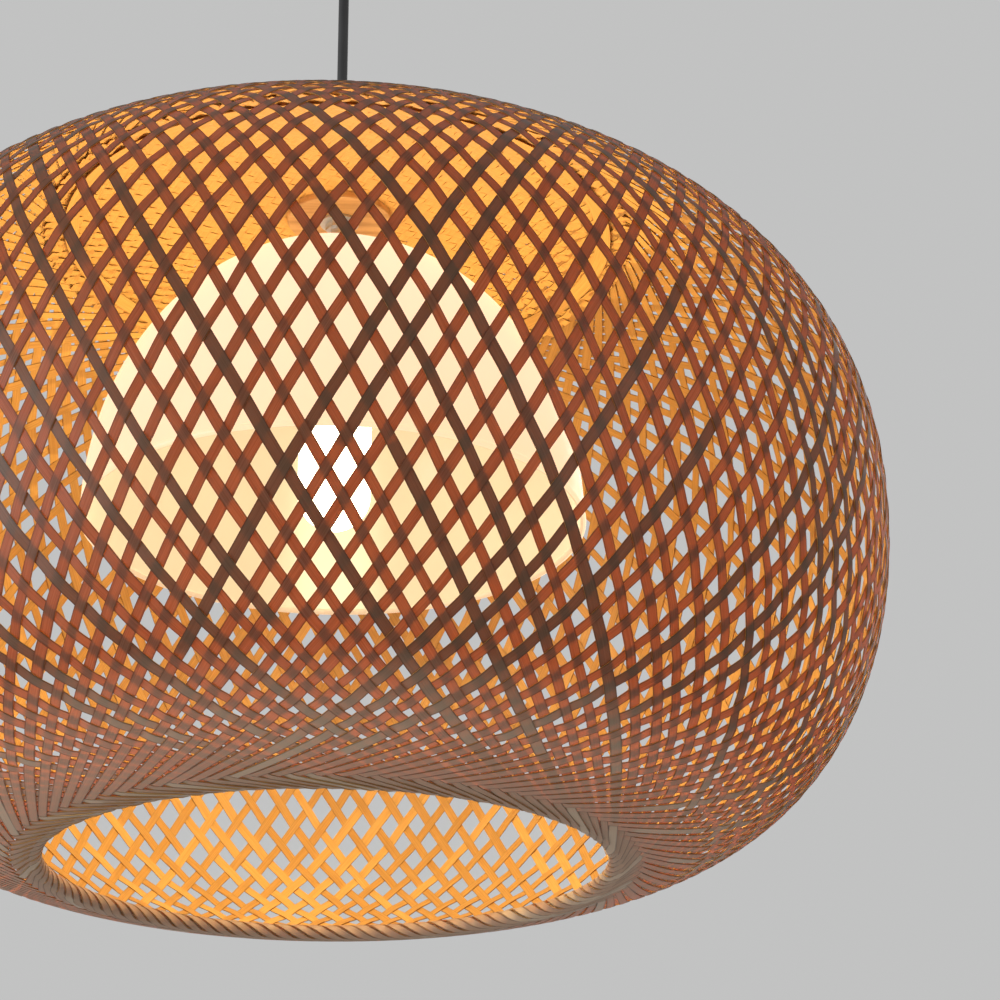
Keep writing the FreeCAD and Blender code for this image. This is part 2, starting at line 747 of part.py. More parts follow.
def make_holder():
    """The lamp holder: cap, insulating insert, screw shell, contact, terminal screws and skirt."""
    top, join, mouth = size["holder_top"], size["holder_join"], size["holder_mouth"]
    wide, wall, stem = size["holder_radius"], size["holder_wall"], size["stem_radius"]
    turned("holder_cap", [
        (stem, top - 8), (stem, top), (stem + 4, top), (wide, top - 12), (wide, join),
        (wide - wall, join), (wide - wall, top - 13), (stem + 4, top - 8),
    ], EQUATOR)
    skirt = size["skirt_radius"]
    ledge = join - 3
    turned("holder_skirt", [
        (skirt - wall, mouth), (skirt, mouth), (skirt, ledge), (wide, ledge), (wide, join),
        (skirt - wall, join),
    ], EQUATOR)
    shell_out = size["screw_bore"] + 0.5
    insert_low = size["bulb_contact_top"] + 3
    insert_radius = skirt - wall - GAP
    flange_radius = wide - wall - GAP
    insert = turned_body("insert_turned", [
        (shell_out, mouth + 6), (insert_radius, mouth + 6), (insert_radius, join), (flange_radius, join),
        (flange_radius, insert_top()), (0, insert_top()), (0, insert_low), (shell_out, insert_low),
    ], EQUATOR)
    ways = [
        cylinder("terminal_way_%d" % side, 1.3, 6.0, x=9.0 * side, z=EQUATOR + insert_top() - 3)
        for side in (-1, 1)
    ]
    finish("holder_insert", cut("insert_drilled", insert, ways))
    turned("screw_shell", [
        (size["screw_bore"], mouth + 2), (shell_out, mouth + 2), (shell_out, insert_low - 2),
        (size["screw_bore"], insert_low - 2),
    ], EQUATOR)
    blade = box("contact_blade", (-2.5, -6.0, EQUATOR + size["bulb_contact_top"] + 1.4), (5.0, 12.0, 0.6))
    nose = cylinder("contact_nose", 2.5, 1.4, z=EQUATOR + size["bulb_contact_top"])
    foot = cylinder("contact_foot", 1.2, 1.0, z=EQUATOR + size["bulb_contact_top"] + 2.0)
    finish("centre_contact", joined("centre_contact_spring", [nose, blade, foot]))
    screws = []
    for side in (-1, 1):
        name = "holder_screw_%d" % side
        screws.append(cylinder(name, 1.2, 2.5, y=9.0 * side, z=EQUATOR + insert_top()))
    return finish("holder_screws", group("holder_screw_pair", screws))


# ---- bulb ---------------------------------------------------------------------------------------

def make_bulb():
    """A tubular opal bulb: globe, collar, screw cap, insulator, contact and the light board."""
    radius, wall, tip = size["globe_radius"], size["globe_wall"], size["bulb_tip"]
    top = size["globe_top"]
    middle = tip + radius
    solids = []
    for name, grow in (("globe_outside", as_size(0)), ("globe_inside", -wall)):
        ball = doc.addObject("Part::Sphere", name + "_ball")
        ball.setExpression("Radius", (radius + grow).text)
        place(ball, z=EQUATOR + middle)
        reach = top - middle if name == "globe_outside" else top - middle + 1
        tube = cylinder(name + "_tube", radius + grow, reach, z=EQUATOR + middle)
        solids.append(joined(name, [ball, tube]))
    finish("bulb_globe", cut("globe_hollow", solids[0], [solids[1]]))
    collar_top = size["collar_top"]
    neck = size["bulb_cap_radius"]
    plug = radius - wall - GAP
    turned("bulb_collar", [
        (0, top), (plug - 1.8, top), (plug - 1.8, top - 3), (plug, top - 3), (plug, top), (radius, top),
        (radius, top + 6), (neck + 1, collar_top), (0, collar_top),
    ], EQUATOR)
    board = plug - 2.8
    turned("light_board", [(0, top - 1.6), (board, top - 1.6), (board, top), (0, top)], EQUATOR)
    cap_top = size["bulb_cap_top"]
    turned("bulb_screw_cap", [
        (0, collar_top), (neck, collar_top), (neck, cap_top - 3), (neck - 3, cap_top),
        (0, cap_top),
    ], EQUATOR)
    contact_top = size["bulb_contact_top"]
    turned("bulb_insulator", [
        (0, cap_top), (neck - 3.5, cap_top), (neck - 7, contact_top - 1.5),
        (0, contact_top - 1.5),
    ], EQUATOR)
    turned("bulb_contact", [
        (0, contact_top - 1.5), (4.8, contact_top - 1.5), (3.8, contact_top),
        (0, contact_top),
    ], EQUATOR)


def make_everything():
    make_bracket()
    make_cup()
    make_side_screws()
    make_bush()
    make_terminal_block()
    make_cord()
    make_gland()
    make_stem()
    screw_bores = make_discs()
    finish("crown_mat", cut("mat_bored", make_mat(), screw_bores))
    make_shade()
    make_dome()
    make_holder()
    make_cores()
    make_bulb()


def check_and_write():
    """Stops on any failed object or bad shape, then writes one STEP file for each piece."""
    doc.recompute()
    for item in doc.Objects:
        if "Invalid" in item.State or "Error" in item.State:
            raise RuntimeError("%s failed: %s" % (item.Name, item.State))
    os.makedirs("parts", exist_ok=True)
    for label, piece in pieces.items():
        shape = piece.Shape
        if shape.isNull() or not shape.isValid() or shape.Volume <= 0:
            raise RuntimeError("%s has a bad shape" % label)
        shape.exportStep("parts/%s.step" % label)
        low, high = shape.BoundBox.ZMin, shape.BoundBox.ZMax
        print("%-18s %2d solid(s) %11.1f mm3  z %8.1f to %8.1f" % (
            label, len(shape.Solids), shape.Volume, low, high))


make_everything()
check_and_write()
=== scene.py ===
import math

import bpy
import numpy as np
from mathutils import Matrix, Vector


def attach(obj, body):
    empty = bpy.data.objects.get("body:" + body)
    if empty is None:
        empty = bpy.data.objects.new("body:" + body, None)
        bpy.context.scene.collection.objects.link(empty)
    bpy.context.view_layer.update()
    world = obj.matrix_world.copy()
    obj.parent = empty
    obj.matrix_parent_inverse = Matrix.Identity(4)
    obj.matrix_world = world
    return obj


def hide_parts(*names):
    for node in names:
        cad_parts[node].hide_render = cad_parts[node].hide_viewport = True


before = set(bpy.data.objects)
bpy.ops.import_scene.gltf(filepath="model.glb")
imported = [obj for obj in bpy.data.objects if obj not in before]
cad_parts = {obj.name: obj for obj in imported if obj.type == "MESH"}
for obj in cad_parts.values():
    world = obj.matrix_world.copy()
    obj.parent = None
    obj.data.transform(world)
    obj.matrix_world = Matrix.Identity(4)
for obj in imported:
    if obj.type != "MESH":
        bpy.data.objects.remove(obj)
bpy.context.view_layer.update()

# ---- sizes, in metres, the same as in the CAD ---------------------------------------------------

EQUATOR = -0.445
SHADE_RADIUS = 0.300
CROWN_HEIGHT = 0.205
BELLY_DEPTH = 0.188
MOUTH_RADIUS = 0.151
CROWN_EXPONENTS = (2.63, 2.19)
BELLY_EXPONENTS = (4.19, 2.08)
HEM_RADIUS = 0.0032
HEM_RETURN = 0.007
CORD_TOP = -0.060
CORD_BOTTOM = -0.208
CORD_RADIUS = 0.003

# ---- the camera and the cord come first ---------------------------------------------------------


def add_camera():
    """The camera stands below the shade and looks up, a little to the right of its axis."""
    yaw, pitch, roll = math.radians(3.813), math.radians(22.698), math.radians(-0.343)
    forward = Vector((math.sin(yaw) * math.cos(pitch), math.cos(yaw) * math.cos(pitch), math.sin(pitch)))
    level = Vector((math.cos(yaw), -math.sin(yaw), 0.0))
    above = level.cross(forward)
    right = math.cos(roll) * level + math.sin(roll) * above
    up = math.cos(roll) * above - math.sin(roll) * level
    data = bpy.data.cameras.new("main_camera")
    data.lens = 97.2
    data.sensor_width = 36.0
    data.clip_end = 60.0
    camera = bpy.data.objects.new("main_camera", data)
    bpy.context.scene.collection.objects.link(camera)
    turn = Matrix((right, up, -forward)).transposed().to_4x4()
    camera.matrix_world = Matrix.Translation((0.0, -1.3713, -0.9925)) @ turn
    bpy.context.scene.camera = camera
    return camera


def add_cord():
    """The taut cord between the ceiling bush and the gland."""
    curve = bpy.data.curves.new("cord", "CURVE")
    curve.dimensions = "3D"
    # The thickness is kept in the points' radius, because Blender's bounding box counts that one.
    curve.bevel_depth = 1.0
    curve.bevel_resolution = 6
    curve.resolution_u = 24
    curve.use_fill_caps = True
    spline = curve.splines.new("NURBS")
    middle = (CORD_TOP + CORD_BOTTOM) / 2
    heights = (CORD_TOP, middle + 0.03, middle - 0.03, CORD_BOTTOM)
    spline.points.add(len(heights) - 1)
    for point, height in zip(spline.points, heights):
        point.co = (0.0, 0.0, height, 1.0)
        point.radius = CORD_RADIUS
    spline.order_u = 3
    spline.use_endpoint_u = True
    cord = bpy.data.objects.new("cord", curve)
    bpy.context.scene.collection.objects.link(cord)
    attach(cord, "cord")
    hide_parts("pendant_cord")
    return cord


camera = add_camera()
cord = add_cord()

# ---- materials ----------------------------------------------------------------------------------


class Shader:
    """A new node material, with short calls for the nodes used here."""

    def __init__(self, name):
        self.material = bpy.data.materials.new(name)
        self.material.use_nodes = True
        self.tree = self.material.node_tree
        self.tree.nodes.clear()
        self.output = self.node("ShaderNodeOutputMaterial")
        self.body = self.node("ShaderNodeBsdfPrincipled")
        self.link(self.body.outputs["BSDF"], self.output.inputs["Surface"])

    def node(self, kind, **settings):
        made = self.tree.nodes.new(kind)
        for key, setting in settings.items():
            setattr(made, key, setting)
        return made

    def link(self, source, target):
        self.tree.links.new(source, target)

    def put(self, node, **sockets):
        """Sets sockets by name: a node output is linked and anything else is a plain value."""
        for key, given in sockets.items():
            socket = node.inputs[key.replace("_", " ")]
            if isinstance(given, bpy.types.NodeSocket):
                self.link(given, socket)
            else:
                socket.default_value = given
        return node

    def attribute(self, name):
        return self.node("ShaderNodeAttribute", attribute_name=name, attribute_type="GEOMETRY")

    def place(self):
        return self.node("ShaderNodeTexCoord").outputs["Object"]

    def scaled(self, vector, scale, shift=(0.0, 0.0, 0.0)):
        mapping = self.node("ShaderNodeMapping")
        mapping.inputs["Scale"].default_value = scale
        mapping.inputs["Location"].default_value = shift
        self.link(vector, mapping.inputs["Vector"])
        return mapping.outputs["Vector"]

    def noise(self, vector, scale, detail=3.0, roughness=0.55):
        made = self.node("ShaderNodeTexNoise")
        self.link(vector, made.inputs["Vector"])
        self.put(made, Scale=scale, Detail=detail, Roughness=roughness)
        return made.outputs["Fac"]

    def ramp(self, factor, stops):
        made = self.node("ShaderNodeValToRGB")
        elements = made.color_ramp.elements
        while len(elements) < len(stops):
            elements.new(0.5)
        for element, (where, colour) in zip(elements, stops):
            element.position = where
            element.color = (*colour, 1.0)
        self.link(factor, made.inputs["Fac"])
        return made.outputs["Color"]

    def remap(self, value, low, high, to_low, to_high):
        made = self.node("ShaderNodeMapRange")
        self.link(value, made.inputs["Value"])
        limits = {"From Min": low, "From Max": high, "To Min": to_low, "To Max": to_high}
        for name, number in limits.items():
            made.inputs[name].default_value = number
        return made.outputs["Result"]

    def mix(self, factor, first, second, blend="MIX"):
        made = self.node("ShaderNodeMix", data_type="RGBA", blend_type=blend)
        for index, given in ((0, factor), (6, first), (7, second)):
            socket = made.inputs[index]
            if isinstance(given, bpy.types.NodeSocket):
                self.link(given, socket)
            else:
                socket.default_value = given if index == 0 else (*given, 1.0)
        return made.outputs[2]

    def bump(self, height, distance, strength=1.0):
        made = self.node("ShaderNodeBump")
        made.inputs["Distance"].default_value = distance
        made.inputs["Strength"].default_value = strength
        self.link(height, made.inputs["Height"])
        self.link(made.outputs["Normal"], self.body.inputs["Normal"])


def bamboo_strip():
    """A split bamboo strip: dark stained skin outside, pale pith inside, thin enough to glow. Painted
    light and shade: a lighter lip, greyer upper strips, dark strip edges and darker doubled stretches.
    """
    made = Shader("bamboo_strip")
    fibre = made.attribute("fibre").outputs["Vector"]
    tone = made.attribute("tone").outputs["Fac"]
    dense = made.attribute("dense").outputs["Fac"]
    side = made.attribute("side").outputs["Fac"]
    streak = made.noise(made.scaled(fibre, (30.0, 2600.0, 1.0)), 1.0, 4.0, 0.6)
    blotch = made.noise(made.scaled(fibre, (22.0, 60.0, 1.0)), 1.0, 2.0)
    skin = made.ramp(streak, [(0.22, (0.055, 0.030, 0.015)), (0.5, (0.115, 0.067, 0.036)),
                              (0.80, (0.20, 0.125, 0.072))])
    skin = made.mix(made.remap(tone, 0.0, 1.0, 0.0, 0.5), skin, (0.15, 0.088, 0.046))
    # Doubled stretches get a darker skin: painted shade for the backlight that the second layer holds
    # back.
    skin = made.mix(made.remap(dense, 0.0, 1.0, 0.0, 0.6), skin, (0.055, 0.031, 0.015))
    skin = made.mix(made.remap(blotch, 0.35, 0.75, 0.0, 0.35), skin, (0.085, 0.046, 0.022))
    parts = made.node("ShaderNodeSeparateXYZ")
    made.link(made.place(), parts.inputs["Vector"])
    # The lowest band of the strips, the lip, is painted a lighter tan: painted daylight on the lip.
    wear_and_painted_lip_light = made.remap(parts.outputs["Z"], EQUATOR - 0.145, EQUATOR - 0.178, 0.0, 0.75)
    skin = made.mix(wear_and_painted_lip_light, skin, (0.47, 0.36, 0.25))
    # The upper strips are painted greyer towards the top: painted daylight sheen. The same share also
    # cuts the light let through them, in the mix below.
    upper = made.remap(parts.outputs["Z"], EQUATOR + 0.08, EQUATOR + 0.19, 0.0, 1.0)
    painted_upper_sheen = made.remap(upper, 0.0, 1.0, 0.0, 0.65)
    skin = made.mix(painted_upper_sheen, skin, (0.17, 0.135, 0.105))
    # Each strip's long edges are darkened, in the skin and in the light let through: painted shade
    # between overlapping strips.
    across = made.node("ShaderNodeMath", operation="ABSOLUTE")
    made.link(made.attribute("across").outputs["Fac"], across.inputs[0])
    edge = made.remap(across.outputs["Value"], 0.36, 0.48, 0.0, 0.62)
    skin = made.mix(edge, skin, (0.035, 0.017, 0.008))
    pith = made.ramp(streak, [(0.25, (0.56, 0.285, 0.065)), (0.75, (0.78, 0.46, 0.13))])
    colour = made.mix(side, skin, pith)
    made.put(made.body, Base_Color=colour, Roughness=0.42)
    made.body.inputs["Specular IOR Level"].default_value = 0.3
    made.bump(streak, 0.00012, 0.6)
    glow = made.node("ShaderNodeBsdfTranslucent")
    through = made.ramp(streak, [(0.2, (0.62, 0.23, 0.045)), (0.8, (0.90, 0.41, 0.11))])
    made.link(made.mix(edge, through, (0.30, 0.09, 0.02)), glow.inputs["Color"])
    both = made.node("ShaderNodeMixShader")
    shut = made.node("ShaderNodeMath", operation="MAXIMUM")
    made.link(dense, shut.inputs[0])
    made.link(upper, shut.inputs[1])
    made.link(made.remap(shut.outputs["Value"], 0.0, 1.0, 0.43, 0.22), both.inputs["Fac"])
    made.link(made.body.outputs["BSDF"], both.inputs[1])
    made.link(glow.outputs["BSDF"], both.inputs[2])
    made.link(both.outputs["Shader"], made.output.inputs["Surface"])
    return made.material


def opal_dome():
    """Opal plastic with painted light: emission for the bulb's light through it glows evenly outside,
    cooler at the top, and dimmer on the glossy inside.
    """
    made = Shader("opal_dome")
    place = made.place()
    cloud = made.noise(place, 18.0, 3.0)
    body = made.mix(made.remap(cloud, 0.3, 0.7, 0.0, 1.0), (0.36, 0.325, 0.26), (0.33, 0.295, 0.235))
    made.put(made.body, Base_Color=body, Roughness=0.16, Emission_Strength=1.0)
    flat = made.node("ShaderNodeVectorMath", operation="MULTIPLY")
    made.link(place, flat.inputs[0])
    flat.inputs[1].default_value = (1.0, 1.0, 0.0)
    facing = made.node("ShaderNodeVectorMath", operation="DOT_PRODUCT")
    made.link(flat.outputs["Vector"], facing.inputs[0])
    made.link(made.node("ShaderNodeTexCoord").outputs["Normal"], facing.inputs[1])
    outside = made.remap(facing.outputs["Value"], -0.002, 0.002, 0.0, 1.0)
    parts = made.node("ShaderNodeSeparateXYZ")
    made.link(place, parts.inputs["Vector"])
    # Painted light: the glow is warmer low down and dimmer on the inside.
    level = made.remap(parts.outputs["Z"], EQUATOR, EQUATOR + 0.15, 0.0, 1.0)
    glow = made.mix(level, (0.93, 0.62, 0.37), (0.95, 0.72, 0.55))
    made.link(made.mix(outside, (0.60, 0.41, 0.23), glow), made.body.inputs["Emission Color"])
    made.body.inputs["Specular IOR Level"].default_value = 0.55
    return made.material


def opal_globe():
    """The bulb's opal tube, almost white where it glows."""
    made = Shader("opal_globe")
    cloud = made.noise(made.place(), 60.0, 2.0)
    glow = made.mix(made.remap(cloud, 0.3, 0.7, 0.0, 1.0), (1.0, 0.80, 0.50), (1.0, 0.83, 0.55))
    made.put(made.body, Base_Color=(0.93, 0.92, 0.90, 1.0), Roughness=0.3, Emission_Color=glow,
             Emission_Strength=10.0)
    return made.material


def wood_disc(name):
    """Plain sawn wood with straight grain along X."""
    made = Shader(name)
    place = made.scaled(made.place(), (9.0, 160.0, 160.0))
    grain = made.noise(place, 1.0, 5.0, 0.65)
    colour = made.ramp(grain, [(0.3, (0.34, 0.17, 0.05)), (0.5, (0.50, 0.27, 0.09)),
                               (0.72, (0.62, 0.36, 0.14))])
    made.put(made.body, Base_Color=colour, Roughness=0.5)
    made.bump(grain, 0.0003, 0.5)
    return made.material


def metal(name, colour, roughness, turned=True):
    """Bare metal with fine tool marks."""
    made = Shader(name)
    scale = (40.0, 40.0, 2200.0) if turned else (30.0, 1500.0, 30.0)
    marks = made.noise(made.scaled(made.place(), scale), 1.0, 3.0)
    shade = made.mix(made.remap(marks, 0.3, 0.7, 0.0, 1.0), colour, tuple(0.8 * c for c in colour))
    made.put(made.body, Base_Color=shade, Metallic=1.0)
    wear_and_painted_lip_light = made.remap(marks, 0.3, 0.7, roughness - 0.06, roughness + 0.08)
    made.link(wear_and_painted_lip_light, made.body.inputs["Roughness"])
    made.bump(marks, 0.00004, 0.5)
    return made.material


def moulded(name, colour, roughness, grain=900.0, depth=0.00005):
    """Moulded plastic, porcelain or powder paint, with a fine surface grain."""
    made = Shader(name)
    place = made.place()
    fine = made.noise(place, grain, 3.0)
    wide = made.noise(place, 35.0, 2.0)
    lighter = tuple(min(1.0, 1.18 * c + 0.004) for c in colour)
    made.put(made.body, Base_Color=made.mix(made.remap(wide, 0.3, 0.7, 0.0, 1.0), colour, lighter))
    rough = made.remap(fine, 0.3, 0.7, roughness - 0.05, roughness + 0.08)
    made.link(rough, made.body.inputs["Roughness"])
    made.bump(fine, depth, 0.5)
    return made.material


def finish_cad_nodes():
    """Gives every carried-over CAD node the material it really has."""
    steel = metal("zinc_steel", (0.62, 0.63, 0.64), 0.34)
    strap = metal("strap_steel", (0.58, 0.59, 0.60), 0.38, turned=False)
    nickel = metal("nickel_shell", (0.72, 0.70, 0.66), 0.28)
    brass = metal("brass", (0.80, 0.58, 0.26), 0.30)
    black = moulded("black_plastic", (0.018, 0.018, 0.019), 0.45)
    paint = moulded("black_paint", (0.022, 0.021, 0.020), 0.38, 1400.0, 0.00008)
    white = moulded("white_plastic", (0.80, 0.79, 0.76), 0.40)
    china = moulded("porcelain", (0.82, 0.81, 0.78), 0.18, 300.0)
    core = moulded("core_insulation", (0.16, 0.08, 0.04), 0.45)
    board = moulded("circuit_board", (0.78, 0.80, 0.78), 0.35)
    sheath = moulded("cord_sheath", (0.016, 0.016, 0.017), 0.42, 1800.0, 0.00004)
    wood = wood_disc("wood_disc")
    dome = opal_dome()
    globe = opal_globe()
    hoop = wood_disc("hoop_cane")
    table = {
        steel: "bush_screw terminal_screws block_screw gland_screw threaded_stem stem_washers stem_nuts",
        strap: "ceiling_bracket",
        nickel: "screw_shell bulb_screw_cap",
        brass: "terminal_tubes disc_screws centre_contact holder_screws bulb_contact",
        black: "cup_bush bush_nut cord_gland holder_cap holder_skirt bulb_insulator",
        paint: "ceiling_cup cup_screws",
        white: "terminal_block bulb_collar",
        china: "holder_insert",
        core: "supply_cores holder_cores",
        board: "light_board",
        sheath: "cord_tail cord_neck cord_end",
        wood: "upper_crown_disc lower_crown_disc",
        dome: "inner_dome",
        globe: "bulb_globe",
        hoop: "mouth_hoop",
    }
    for material, names in table.items():
        for name in names.split():
            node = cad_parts[name]
            node.data.materials.clear()
            node.data.materials.append(material)
    cord.data.materials.append(sheath)


# ---- the weave ----------------------------------------------------------------------------------

STRIPS = 103
PARTS = 5
TURNING_RADIUS = 0.1455
STRIP_WIDTH = 0.0051
STRIP_THICKNESS = 0.0006
SAMPLE_STEP = 0.0027
OPEN_END = 0.0444
LIP_START = 0.0123
MAT_RADIUS = 0.166
MAT_PITCH = 0.0064
MAT_WIDTH = 0.0062
chance = np.random.default_rng(11)


class Surface:
    """The shade's middle surface, by distance down its profile from the crown to past the hem."""

    def __init__(self):
        turn = np.linspace(math.pi / 2 - 1e-6, 0.0, 1500)
        radius = SHADE_RADIUS * (np.cos(turn) ** 2) ** (1 / CROWN_EXPONENTS[0])
        height = CROWN_HEIGHT * (np.sin(turn) ** 2) ** (1 / CROWN_EXPONENTS[1])
        share = (MOUTH_RADIUS / SHADE_RADIUS) ** BELLY_EXPONENTS[0]
        turn = np.linspace(0.0, math.acos(math.sqrt(share)), 1200)[1:]
        radius = np.append(radius, SHADE_RADIUS * (np.cos(turn) ** 2) ** (1 / BELLY_EXPONENTS[0]))
        height = np.append(height, -BELLY_DEPTH * (np.sin(turn) ** 2) ** (1 / BELLY_EXPONENTS[1]))
        mouth = len(radius)
        along = np.array([radius[-1] - radius[-2], height[-1] - height[-2]])
        along /= np.hypot(*along)
        outward = np.array([-along[1], along[0]])
        end = np.array([radius[-1], height[-1]])
        bend = np.linspace(0.0, math.pi, 40)[1:]
        centre = end - outward * HEM_RADIUS
        arc = centre + HEM_RADIUS * (np.outer(np.cos(bend), outward) + np.outer(np.sin(bend), along))
        back = arc[-1] - np.outer(np.linspace(0.0, HEM_RETURN, 12)[1:], along)
        radius = np.concatenate([radius, arc[:, 0], back[:, 0]])
        height = np.concatenate([height, arc[:, 1], back[:, 1]])
        step = np.hypot(np.diff(radius), np.diff(height))
        self.down = np.concatenate([[0.0], np.cumsum(step)])
        self.radius, self.height = radius, height
        d_radius, d_height = np.gradient(radius, self.down), np.gradient(height, self.down)
        size = np.hypot(d_radius, d_height)
        self.d_radius, self.d_height = d_radius / size, d_height / size
        self.mouth = self.down[mouth - 1]
        self.end = self.down[-1]
        sine = np.clip(TURNING_RADIUS / np.maximum(radius, 1e-6), 0.0, 0.968)
        sine = np.where(self.down > self.mouth, np.clip(sine, 0.0, 0.90), sine)
        self.sine, self.cosine = sine, np.sqrt(1.0 - sine ** 2)
        tangent = sine / self.cosine / np.maximum(radius, 1e-6)
        top = np.searchsorted(radius[:1500], MOUTH_RADIUS)
        self.top = self.down[top]
        turned = np.where(self.down < self.top, 0.0, tangent)
        self.angle = np.concatenate([[0.0], np.cumsum((turned[1:] + turned[:-1]) / 2 * step)])
        run = np.where(self.down < self.top, 0.0, 1.0 / self.cosine)
        self.run = np.concatenate([[0.0], np.cumsum((run[1:] + run[:-1]) / 2 * step)])

    def at(self, down, name):
        return np.interp(down, self.down, getattr(self, name))


surface = Surface()


def smooth(value, low, high):
    share = np.clip((value - low) / (high - low), 0.0, 1.0)
    return share * share * (3.0 - 2.0 * share)


def ribbon_mesh(rows):
    """Vertices and faces of closed flat ribbons. Each row holds a ribbon's cross sections."""
    vertices, faces, start = [], [], 0
    for sections in rows:
        count, ring = sections.shape[0], sections.shape[1]
        vertices.append(sections.reshape(-1, 3))
        first = start + np.arange(count - 1)[:, None] * ring + np.arange(ring)[None, :]
        beside = start + np.arange(count - 1)[:, None] * ring + (np.arange(ring)[None, :] + 1) % ring
        quads = np.stack([first, beside, beside + ring, first + ring], axis=-1).reshape(-1, 4)
        caps = [[start, start + 1, start + 4, start + 5], [start + 1, start + 2, start + 3, start + 4]]
        last = start + (count - 1) * ring
        caps += [[last + 5, last + 4, last + 1, last], [last + 4, last + 3, last + 2, last + 1]]
        faces.append(quads)
        faces.append(np.array([c[::-1] for c in caps]))
        start += count * ring
    return np.concatenate(vertices), np.concatenate(faces)


def ribbon_sections(centre, across, normal, width, lift, lean=0.0, thickness=STRIP_THICKNESS):
    """Cross sections of a ribbon: three points outside, gently crowned, and three inside."""
    width = np.broadcast_to(width, len(centre))
    lift = np.broadcast_to(lift, len(centre))
    lean = np.broadcast_to(lean, len(centre))
    half = thickness / 2
    outline = [(-0.5, half * 0.75), (0.0, half), (0.5, half * 0.75),
               (0.5, -half), (0.0, -half), (-0.5, -half)]
    sections = []
    for share, rise in outline:
        side = share * width
        up = lift + rise + lean * side
        sections.append(centre + across * side[:, None] + normal * up[:, None])
    return np.stack(sections, axis=1)


def add_ribbons(name, ribbons, material):
    """One piece out of many ribbons, each a dict of sections, run, width, tone and dense."""
    vertices, faces = ribbon_mesh([ribbon["sections"] for ribbon in ribbons])
    mesh = bpy.data.meshes.new(name)
    mesh.from_pydata(vertices.tolist(), [], faces.tolist())
    mesh.shade_smooth()
    across = np.array([-0.5, 0.0, 0.5, 0.5, 0.0, -0.5])
    inside = np.array([0.0, 0.0, 0.0, 1.0, 1.0, 1.0])
    fibre, tone, dense, side, edge = [], [], [], [], []
    for ribbon in ribbons:
        count = len(ribbon["sections"])
        width = np.broadcast_to(ribbon["width"], count)
        fibre.append(np.stack([
            np.repeat(ribbon["run"] + ribbon["seed"] * 37.0, 6),
            (width[:, None] * across[None, :]).ravel() + ribbon["seed"],
            np.full(count * 6, ribbon["seed"]),
        ], axis=-1))
        tone.append(np.full(count * 6, ribbon["tone"]))
        dense.append(np.repeat(np.broadcast_to(ribbon["dense"], count), 6))
        side.append(np.tile(inside, count))
        edge.append(np.tile(across, count))
    for label, kind, field, parts in (
        ("fibre", "FLOAT_VECTOR", "vector", fibre), ("tone", "FLOAT", "value", tone),
        ("dense", "FLOAT", "value", dense), ("side", "FLOAT", "value", side),
        ("across", "FLOAT", "value", edge),
    ):
        layer = mesh.attributes.new(label, kind, "POINT")
        layer.data.foreach_set(field, np.concatenate(parts).astype(np.float32).ravel())
    mesh.set_sharp_from_angle(angle=math.radians(50))
    mesh.materials.append(material)
    piece = bpy.data.objects.new(name, mesh)
    bpy.context.scene.collection.objects.link(piece)
    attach(piece, "lamp")
    return piece


def wander(length, scale, size):
    """A smooth random wave along a strip, of about the given size."""
    wave = np.zeros_like(length)
    for octave in range(3):
        pitch = scale / (1.0 + 0.9 * octave)
        wave += np.sin(2 * math.pi * (length / pitch + chance.random())) / (1.0 + octave)
    return size * wave / 1.8


